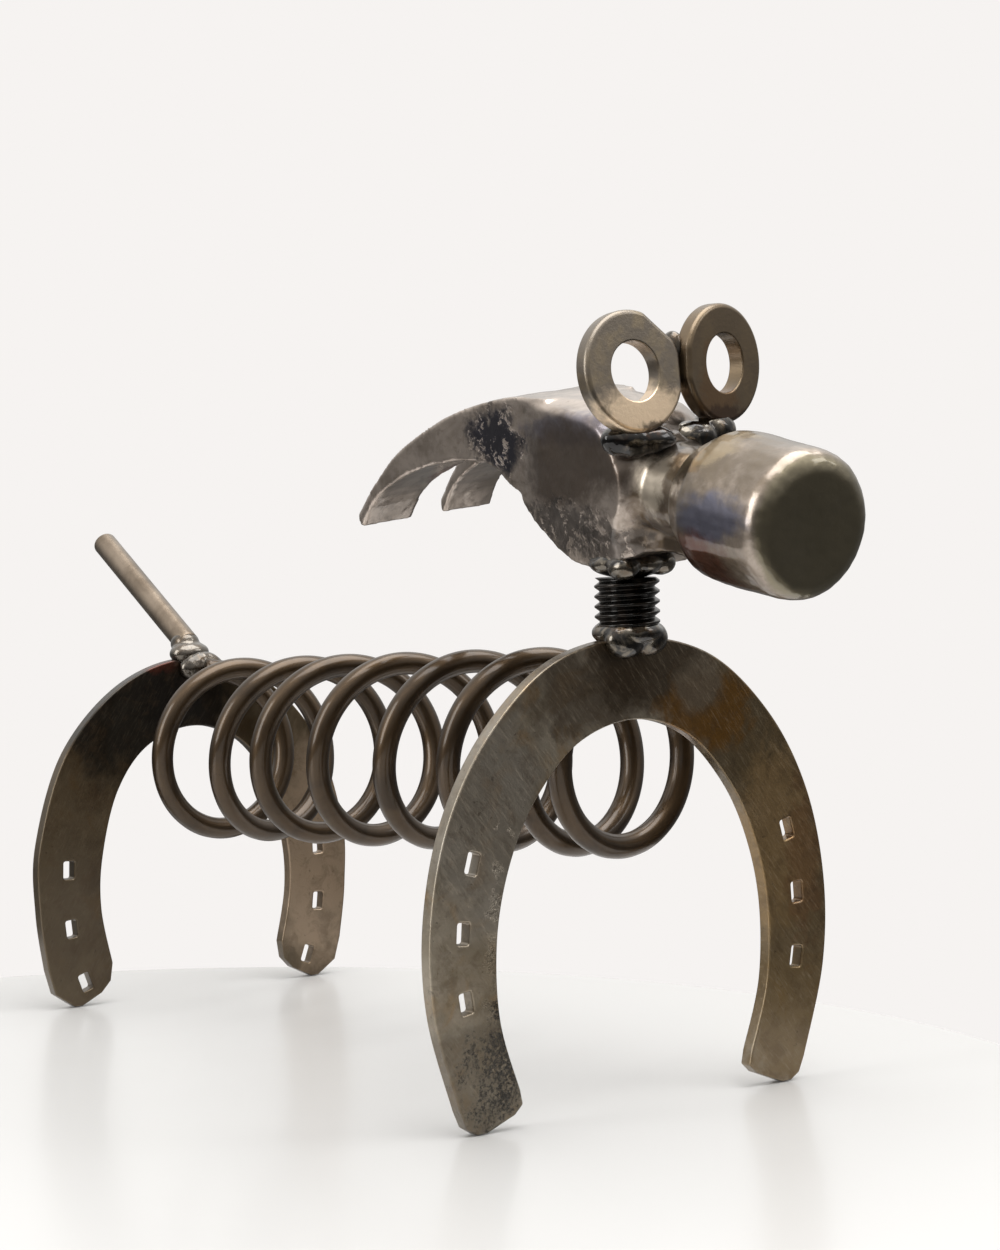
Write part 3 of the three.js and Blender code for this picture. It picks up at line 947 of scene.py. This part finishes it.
@dataclass
class HammerHead:
    """The claw hammer head: the CAD's form with a fine skin and soft forged edges.

    The dents are (depth, size, seed) of the unevenness of the forging.
    """

    node: str = "hammer_head"
    centre: Triple = (2.2, 1.5, 122.7)
    nose_down: float = 10.5
    lean_right: float = 7.0
    voxel: float = 0.45
    rounds: int = 5
    dents: tuple[Triple, ...] = ((0.16, 7, 1), (0.05, 1.8, 2))

    def spot(self, forward: float, left: float, up: float) -> Triple:
        """Finds a place given in the hammer's own directions.

        Args:
            forward: Towards the struck face, from the middle of the eye.
            left: Towards the dog's left.
            up: Up.

        Returns:
            The place in millimetres from the front horseshoe.
        """
        pitch = Matrix.Rotation(math.radians(self.nose_down), 3, "X")
        roll = Matrix.Rotation(math.radians(-self.lean_right), 3, "Y")
        place = Vector(self.centre) + pitch @ roll @ Vector((left, -forward, up))
        return place.x, place.y, place.z

    def colour_patches(self) -> tuple[ColourPatch, ...]:
        """Lists the broad heat colours, together with the painted highlights, painted reflection and
        painted shade laid on the hammer.
        """
        return (
            ColourPatch(self.spot(34, 0, 0), (20, 24, 20), srgb(102, 89, 71), 0.9, 0.3, 8),
            # Painted reflection: the bluish band along the poll's right side stands in for a softbox's
            # reflection.
            ColourPatch(self.spot(40, -13, 1), (14, 9, 4.5), srgb(94, 96, 114), 0.85, 0.4, 5),
            ColourPatch(self.spot(36, -11, -9), (15, 9, 6), srgb(84, 38, 18), 0.92, 0.4, 5),
            # Painted highlight: the light straw patch on top of the poll, a little to its right, where the
            # overhead light falls.
            ColourPatch(self.spot(30, -6, 12), (8, 8, 5), srgb(158, 141, 112), 0.75, 0.5, 4),
            ColourPatch(self.spot(17, -3, -4), (12, 7, 9), srgb(84, 68, 50), 0.85, 0.5, 4),
            # Painted highlight: the near-white streak on the throat between the cheek and the poll.
            ColourPatch(self.spot(16, -8, 4), (5, 4, 7), srgb(200, 188, 170), 0.8, 0.5, 3),
            ColourPatch(self.spot(110.5, 0, 0), (60, 60, 60), srgb(120, 112, 91), 0.92, 0.01, 5, 0.012),
            ColourPatch(self.spot(-4, -11, 10), (8, 16, 3.2), srgb(96, 96, 114), 0.7, 0.4, 4),
            ColourPatch(self.spot(-5, -12, 3), (6, 18, 8), srgb(84, 71, 60), 0.85, 0.5, 7),
            # Partly painted shade, partly weld soot: the dark patch on the hammer's top under and between
            # the washers.
            ColourPatch(self.spot(12, 0, 9), (10, 6, 5), srgb(40, 32, 26), 0.85, 0.6, 3),
            ColourPatch(self.spot(-44, 9, 0), (3, 12, 3), srgb(92, 26, 22), 0.8, 0.7, 3),
            ColourPatch(self.spot(-60, -4, -9), (2.4, 10, 2.4), srgb(92, 26, 22), 0.7, 0.7, 3),
        )

    def flakes(self) -> tuple[ColourPatch, ...]:
        """Lists the areas where dark scale flakes off."""
        return (
            ColourPatch(self.spot(-29.5, -11, 4.5), (6.5, 8, 7), srgb(40, 41, 52), 0.95, 0.6, 4),
            ColourPatch(self.spot(-8, -11, -10), (6, 13, 5), srgb(58, 53, 50), 0.75, 0.7, 4),
            ColourPatch(self.spot(6, -10, -12), (6, 9, 6), srgb(52, 45, 40), 0.7, 0.8, 3),
        )

    def dress(self) -> None:
        """Skins the CAD's form and gives it its finish."""
        piece = new_piece("forged_hammer_head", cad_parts[self.node].data.copy())
        skin(piece, self.voxel, self.rounds)
        for depth, size, seed in self.dents:
            roughen(piece.data, depth, size, seed)
        finish = ForgedFinish("forged_steel", srgb(184, 171, 160), srgb(144, 132, 121),
                              self.colour_patches(), self.flakes())
        dress(piece, Slot.HAMMER, self.node, finish.make())


# ---------------------------------------------------------------- eyes


@dataclass
class WasherEye:
    """A flat washer stood on edge, with a rolled rim and places ground flat.

    Each flat is (degrees round the washer, distance from its middle).
    """

    node: str
    centre: Triple
    turn: float
    tip_back: float
    flats: tuple[Point2, ...]
    colour_patches: tuple[ColourPatch, ...]
    outer: float = 11.7
    inner: float = 5.7
    thickness: float = 3.5
    hole_edge: float = 0.35
    front_edge: float = 1.0
    back_edge: float = 0.7
    edge_steps: int = 5
    sides: int = 144

    def reach(self, angle: float) -> float:
        """Measures the washer's outer radius, less where it is ground flat.

        Args:
            angle: Angle round the washer.

        Returns:
            The radius in millimetres.
        """
        reach = self.outer
        for degrees, distance in self.flats:
            facing = math.cos(angle - math.radians(degrees))
            if facing > 0.1:
                reach = min(reach, distance / facing)
        return reach

    def section(self, reach: float) -> list[Point2]:
        """Draws the washer's cross-section, from its hole out and back.

        Args:
            reach: The outer radius here.

        Returns:
            Pairs of depth and radius.
        """
        half = self.thickness / 2
        outline = []
        for depth, radius, edge, start in ((-half, self.inner, self.hole_edge, 180),
                                           (-half, reach, self.front_edge, 270),
                                           (half, reach, self.back_edge, 0),
                                           (half, self.inner, self.hole_edge, 90)):
            inward = 1 if radius == self.inner else -1
            back = 1 if depth < 0 else -1
            for step in range(self.edge_steps + 1):
                angle = math.radians(start + 90 * step / self.edge_steps)
                outline.append((depth + back * edge + edge * math.sin(angle),
                                radius + inward * edge + edge * math.cos(angle)))
        return outline

    def place(self, across: float, depth: float, up: float) -> Vector:
        """Puts a point of the washer in the frame.

        Args:
            across: Towards the dog's left, in the washer's plane.
            depth: Back through the washer.
            up: Up in the washer's plane.

        Returns:
            The place in metres.
        """
        turn = Matrix.Rotation(math.radians(self.turn), 3, "Z")
        tip = Matrix.Rotation(math.radians(-self.tip_back), 3, "X")
        spot = Vector(self.centre) + turn @ tip @ Vector((across, depth, up))
        return at(spot.x, spot.y, spot.z)

    def dress(self) -> None:
        """Builds the washer and gives it its finish."""
        bm = bmesh.new()
        rows = []
        for i in range(self.sides):
            angle = 2 * math.pi * i / self.sides
            row = [bm.verts.new(self.place(radius * math.cos(angle), depth, radius * math.sin(angle)))
                   for depth, radius in self.section(self.reach(angle))]
            rows.append(row)
        for row, after in zip(rows, [*rows[1:], rows[0]]):
            for i in range(len(row)):
                j = (i + 1) % len(row)
                bm.faces.new((row[i], row[j], after[j], after[i]))
        piece = new_piece(self.node + "_disc", mesh_from(self.node, bm))
        crisp = piece.modifiers.new("crisp", "WEIGHTED_NORMAL")
        crisp.weight = 70
        finish = WasherFinish(self.node + "_steel", srgb(114, 105, 94), srgb(132, 119, 99), self.colour_patches)
        dress(piece, Slot.WASHER, self.node, finish.make())


# ---------------------------------------------------------------- tail


@dataclass
class TailRod:
    """The round rod that makes the tail."""

    node: str = "tail_rod"
    radius: float = 2.9
    base: Triple = (0, 174.4, 83.8)
    tip: Triple = (0, 215.6, 107.8)
    edge: float = 0.6
    steps: int = 24
    sides: int = 40

    def dress(self) -> None:
        """Builds the rod and gives it its finish."""
        start = at(*self.base)
        end = at(*self.tip)
        ahead = (end - start).normalized()
        length = (end - start).length / MM
        cut = soft_ends(self.radius, self.edge)
        stations = [*cut, *[(length * i / self.steps, self.radius) for i in range(1, self.steps)],
                    *[(length - along, radius) for along, radius in reversed(cut)]]
        across = Vector((1, 0, 0))
        other = ahead.cross(across)
        angles = [2 * math.pi * i / self.sides for i in range(self.sides)]
        round_it = [across * math.cos(a) + other * math.sin(a) for a in angles]
        rings = [[start + (ahead * along + side * radius) * MM for side in round_it]
                 for along, radius in stations]
        piece = new_piece("tail_bar", loft(rings, "tail_bar"))
        finish = DrawnWireFinish("tail_steel", srgb(134, 120, 104), srgb(98, 84, 68), 0.34)
        dress(piece, Slot.TAIL, self.node, finish.make())


# ---------------------------------------------------------------- weld beads


@dataclass
class WeldBead:
    """A bead of weld metal, run together from a few swellings.

    Each swelling is its middle's x, y and z and its half width, depth and height.
    """

    node: str
    swellings: tuple[Swelling, ...]
    finish: WeldFinish
    voxel: float = 0.32
    rounds: int = 6
    lumps: float = 0.3
    seed: float = 1.0

    def build(self) -> bpy.types.Object:
        """Runs the swellings together under one skin."""
        bm = bmesh.new()
        for x, y, z, half_width, half_depth, half_height in self.swellings:
            shape = Matrix.Translation(at(x, y, z)) @ Matrix.Diagonal(
                (half_width * MM, half_depth * MM, half_height * MM, 1))
            bmesh.ops.create_icosphere(bm, subdivisions=4, radius=1, matrix=shape)
        piece = new_piece(self.node + "_bead", mesh_from(self.node, bm))
        skin(piece, self.voxel, self.rounds)
        roughen(piece.data, self.lumps, 3.0, self.seed)
        roughen(piece.data, self.lumps * 0.25, 1.1, self.seed + 4)
        return piece

    def dress(self) -> None:
        """Builds the bead and gives it its finish."""
        dress(self.build(), Slot.WELD, self.node, self.finish.make())


# ---------------------------------------------------------------- the dog


class Dog:
    """All the pieces of the sculpture."""

    def front_shoe(self) -> Horseshoe:
        """Describes the front legs."""
        finish = PlateFinish(
            "front_plate", srgb(152, 142, 126), srgb(128, 116, 97), srgb(142, 114, 76), 38, 0.22,
            (
                ColourPatch((40, 1, 34), (16, 30, 44), srgb(112, 92, 60), 0.85, 0.5, 9),
                ColourPatch((28, 1, 71), (16, 30, 16), srgb(96, 80, 54), 0.85, 0.5, 7),
                ColourPatch((-11, 1, 82), (14, 30, 9), srgb(82, 70, 56), 0.75, 0.5, 8),
                ColourPatch((4, 1, 86), (14, 30, 9), srgb(56, 42, 24), 0.88, 0.4, 5),
                ColourPatch((18, 1, 76.5), (11, 30, 7), srgb(112, 76, 20), 0.9, 0.5, 5),
                ColourPatch((16, 1, 82), (6, 30, 5.5), srgb(112, 100, 84), 0.85, 0.3, 4),
                ColourPatch((36, 1, 50), (9, 30, 18), srgb(146, 120, 82), 0.8, 0.5, 6),
                ColourPatch((43, 1, 44), (4, 30, 16), srgb(120, 84, 52), 0.5, 0.7, 4),
                ColourPatch((-34, 1, 60), (12, 30, 22), srgb(132, 126, 117), 0.6, 0.5, 9),
                ColourPatch((-38, 1, 10), (12, 30, 14), srgb(88, 78, 62), 0.7, 0.5, 6),
            ),
            (
                ColourPatch((-34, 1, 11), (7, 30, 12), srgb(30, 28, 24), 0.85, 0.9, 4),
                ColourPatch((-31, 1, 26), (4, 30, 20), srgb(40, 36, 30), 0.5, 0.9, 4),
            ),
        )
        return Horseshoe(
            "front_horseshoe", 0.0,
            ((0, 91.7), (19.2, 87.6), (34.3, 75.1), (43.9, 59.2), (48.3, 40.8), (47.8, 22.9), (42.4, 4.6)),
            ((41.0, 1.4), (38.8, 0), (36.4, 0), (29.9, 2.6), (28.0, 4.4)),
            ((28.6, 7.2), (32.9, 21.1), (33.2, 36.7), (29.9, 50.4), (23.7, 62.0), (13.4, 72.0), (0, 75.7)),
            ((38.6, 51.2, 16), (41.0, 38.2, 4), (40.6, 25.1, -9)), finish)

    def rear_shoe(self) -> Horseshoe:
        """Describes the rear legs."""
        finish = PlateFinish(
            "rear_plate", srgb(90, 77, 58), srgb(72, 59, 42), srgb(84, 66, 42), -32, 0.06,
            (
                ColourPatch((-18, 173, 70), (18, 30, 16), srgb(34, 31, 26), 0.9, 0.4, 8),
                ColourPatch((-2, 173, 72), (12, 30, 12), srgb(30, 26, 22), 0.9, 0.5, 6),
                ColourPatch((-9, 173, 80), (5, 30, 2.6), srgb(84, 40, 28), 0.7, 0.5, 3),
                ColourPatch((-38, 173, 26), (8, 30, 26), srgb(92, 80, 62), 0.6, 0.5, 8),
                ColourPatch((34, 173, 32), (14, 30, 26), srgb(154, 134, 112), 0.85, 0.4, 8),
            ),
        )
        return Horseshoe(
            "rear_horseshoe", 172.3,
            ((0, 80.6), (18.6, 75.2), (34.0, 60.0), (41.6, 38.5), (42.0, 22.5), (40.2, 9.0)),
            ((38.6, 3.4), (35.4, 1.2), (33.6, 0), (31.6, 0), (26.4, 2.6), (24.0, 5.2)),
            ((23.4, 9.3), (26.0, 22.5), (25.3, 35.0), (20.9, 50.0), (12.6, 60.2), (0, 64.2)),
            ((34.3, 32.4, 2), (34.0, 18.5, -6), (30.7, 5.6, -20)), finish)

    def eyes(self) -> tuple[WasherEye, WasherEye]:
        """Describes the two washers."""
        right = WasherEye(
            "eye_washer_right", (-8.9, -12, 142.3), 1, 6.8, ((52, 10.9), (0, 11.2)),
            # Painted highlight: the near-white sandy patch low on the right washer, where the light falls.
            (ColourPatch((-7, -13, 134.6), (10, 8, 5), srgb(236, 211, 180), 0.85, 0.4, 3),
             ColourPatch((-4, -13, 131), (5, 8, 2), srgb(40, 32, 26), 0.8, 0.6, 2)))
        left = WasherEye(
            "eye_washer_left", (13.9, -10.3, 144.1), 13, 1, ((180, 11.1),),
            (ColourPatch((14, -10, 144), (18, 9, 18), srgb(104, 86, 62), 0.75, 0.3, 6),
             ColourPatch((12, -12, 140), (5, 8, 8), srgb(112, 84, 54), 0.7, 0.5, 3),
             ColourPatch((14, -12, 133.5), (6, 8, 2.5), srgb(64, 44, 30), 0.8, 0.5, 2)),
            outer=11.5)
        return right, left

    def welds(self) -> list[WeldBead]:
        """Describes the beads."""
        glossy = WeldFinish("weld_glossy", srgb(104, 96, 84), srgb(26, 23, 20), srgb(78, 56, 28), 0.6)
        silver = WeldFinish("weld_silver", srgb(98, 91, 82), srgb(58, 52, 44), srgb(86, 68, 46), 0.4)
        black = WeldFinish("weld_black", srgb(84, 76, 66), srgb(16, 14, 12), srgb(74, 48, 28), 0.9)
        return [
            WeldBead("neck_weld_lower", ((0, 1.6, 92.6, 7.2, 6.9, 3.0), (-2.8, -1.2, 91.2, 4.4, 2.8, 3.6),
                                         (3.0, -1.3, 91.4, 4.2, 2.8, 3.4), (0, 4.4, 92, 4.6, 3, 3)),
                     glossy, lumps=0.2, seed=1),
            WeldBead("neck_weld_upper", ((0.4, 1.6, 106.0, 7.6, 7.6, 3.0),
                                         (-4.4, -3.2, 105.4, 3.2, 3.2, 2.6),
                                         (5.0, -2.4, 106.2, 3.2, 3.2, 2.6)),
                     glossy, lumps=0.22, seed=2),
            WeldBead("eye_weld_right", ((-8.4, -11, 129.6, 6.6, 3.8, 3.4),
                                        (-4, -12.2, 129.6, 5.4, 3.2, 2.8)), black, seed=3),
            WeldBead("eye_weld_left", ((12.6, -9.8, 131.4, 5, 3.5, 3.5), (7, -10.8, 130.2, 5.4, 3.3, 3.1)),
                     glossy, seed=4),
            WeldBead("eye_bridge_weld", ((2.8, -10.2, 147.2, 1.9, 2.3, 3.2),
                                         (2.7, -9.9, 142.2, 1.6, 2.3, 3.0)),
                     silver, voxel=0.26, rounds=5, lumps=0.2, seed=5),
            WeldBead("spring_weld_front", ((6.4, 5.2, 88.0, 6.4, 2.8, 3.4),), silver, seed=6),
            WeldBead("spring_weld_rear", ((1.4, 170.4, 78.4, 5.8, 2.8, 3.6),), silver, seed=7),
            WeldBead("tail_weld", ((0, 173.6, 81.7, 5.0, 3.8, 2.9), (0, 175.6, 84.0, 3.5, 3.5, 3.0)),
                     silver, lumps=0.12, seed=8),
        ]

    def build(self) -> None:
        """Builds and dresses every piece."""
        for piece in (self.front_shoe(), self.rear_shoe(), CoilSpring(), ThreadedNeck(), HammerHead(),
                      *self.eyes(), TailRod(), *self.welds()):
            piece.dress()


# ---------------------------------------------------------------- studio


@dataclass(frozen=True)
class Softbox:
    """A soft light, placed in metres from the middle of the dog's feet, with its power in watts."""

    name: str
    place: Triple
    size: Point2
    power: float

    def hang(self, target: Vector) -> None:
        """Hangs the light so that it looks at the target."""
        data = bpy.data.lights.new(self.name, "AREA")
        data.shape = "RECTANGLE"
        data.size, data.size_y = self.size
        data.energy = self.power
        light = bpy.data.objects.new(self.name, data)
        bpy.context.scene.collection.objects.link(light)
        light.location = Vector(self.place)
        light.rotation_euler = (target - light.location).to_track_quat("-Z", "Y").to_euler()


@dataclass
class Studio:
    """A plain pale table top, a near-white room, soft lights and the camera."""

    wall: Colour = srgb(246, 243, 241)
    table_radius: float = 0.19
    table_centre: tuple[float, float] = (-88, 43)
    floor_tone: Colour = (0.52, 0.515, 0.507)
    vein_tone: Colour = (0.475, 0.466, 0.452)
    softboxes: tuple[Softbox, ...] = (
        Softbox("overhead", (0.1, -0.2, 1.1), (1.2, 0.9), 16),
        Softbox("left_window", (-1.2, 0.1, 0.5), (0.5, 0.9), 8),
        Softbox("right_fill", (1.0, -0.9, 0.9), (0.5, 0.5), 3),
    )
    camera_place: Triple = (-355.5, -456.9, 125.4)
    yaw: float = 35.352
    pitch: float = 3.055
    roll: float = -1.097
    lens: float = 86.33

    def table(self) -> None:
        """Builds the round table top that the dog stands on."""
        bm = bmesh.new()
        bmesh.ops.create_circle(bm, cap_ends=True, segments=256, radius=self.table_radius,
                                matrix=Matrix.Translation(at(*self.table_centre, -0.2)))
        table = new_piece("table_top", mesh_from("table_top", bm), smooth=False)
        graph = Graph("polished_white_stone")
        veins = graph.step(graph.noise(120, 5, 0.6, 1.2), 0.55, 0.75)
        colour = graph.blend(graph.math("MULTIPLY", veins, 0.2), self.floor_tone, self.vein_tone)
        stone = graph.finish(colour, 0.32, None, metal=0.0, coat=0.35, coat_rough=0.16)
        table.data.materials.append(stone)

    def room(self) -> None:
        """Makes the room: near-white where it is seen, softly shaded where it is reflected."""
        world = bpy.data.worlds.new("room")
        bpy.context.scene.world = world
        world.use_nodes = True
        tree = world.node_tree
        tree.nodes.clear()
        direction = tree.nodes.new("ShaderNodeTexCoord").outputs["Generated"]
        parts = tree.nodes.new("ShaderNodeSeparateXYZ")
        tree.links.new(direction, parts.inputs[0])
        strength = tree.nodes.new("ShaderNodeMath")
        strength.operation = "MULTIPLY"
        for index, (axis, low, high, dim, bright) in enumerate((("Z", -0.1, 0.7, 0.14, 1.3),
                                                                ("Y", -0.8, 0.4, 0.7, 1.0))):
            shading = tree.nodes.new("ShaderNodeMapRange")
            shading.inputs["From Min"].default_value = low
            shading.inputs["From Max"].default_value = high
            shading.inputs["To Min"].default_value = dim
            shading.inputs["To Max"].default_value = bright
            tree.links.new(parts.outputs[axis], shading.inputs["Value"])
            tree.links.new(shading.outputs[0], strength.inputs[index])
        reflected = tree.nodes.new("ShaderNodeBackground")
        reflected.inputs["Color"].default_value = (1.0, 0.985, 0.96, 1)
        tree.links.new(strength.outputs[0], reflected.inputs["Strength"])
        seen = tree.nodes.new("ShaderNodeBackground")
        seen.inputs["Color"].default_value = (*self.wall, 1)
        rays = tree.nodes.new("ShaderNodeLightPath")
        mix = tree.nodes.new("ShaderNodeMixShader")
        tree.links.new(rays.outputs["Is Camera Ray"], mix.inputs[0])
        tree.links.new(reflected.outputs[0], mix.inputs[1])
        tree.links.new(seen.outputs[0], mix.inputs[2])
        output = tree.nodes.new("ShaderNodeOutputWorld")
        tree.links.new(mix.outputs[0], output.inputs[0])

    def camera(self) -> None:
        """Sets the camera in front of the dog's right shoulder, a little above its back."""
        place = at(*self.camera_place)
        yaw = math.radians(self.yaw)
        pitch = math.radians(self.pitch)
        roll = math.radians(self.roll)
        level = Vector((math.sin(yaw), math.cos(yaw), 0))
        ahead = level * math.cos(pitch) - Vector((0, 0, math.sin(pitch)))
        side = Vector((math.cos(yaw), -math.sin(yaw), 0))
        above = side.cross(ahead)
        right = side * math.cos(roll) + above * math.sin(roll)
        up = above * math.cos(roll) - side * math.sin(roll)
        data = bpy.data.cameras.new("camera")
        data.sensor_width = 36
        data.lens = self.lens
        data.clip_start = 0.01
        camera = bpy.data.objects.new("camera", data)
        facing = Matrix((right, up, -ahead)).transposed().to_4x4()
        camera.matrix_world = Matrix.Translation(place) @ facing
        bpy.context.scene.collection.objects.link(camera)
        bpy.context.scene.camera = camera

    def build(self) -> None:
        """Sets up the table, the room, the lights and the camera."""
        self.table()
        self.room()
        for softbox in self.softboxes:
            softbox.hang(Vector((0, 0, 0.08)))
        self.camera()
        bpy.context.scene.view_settings.view_transform = "Standard"


def main() -> None:
    """Builds the dog and its studio."""
    Studio().build()
    Dog().build()
    LOG.info("sizes written")


if __name__ == "__main__":
    main()
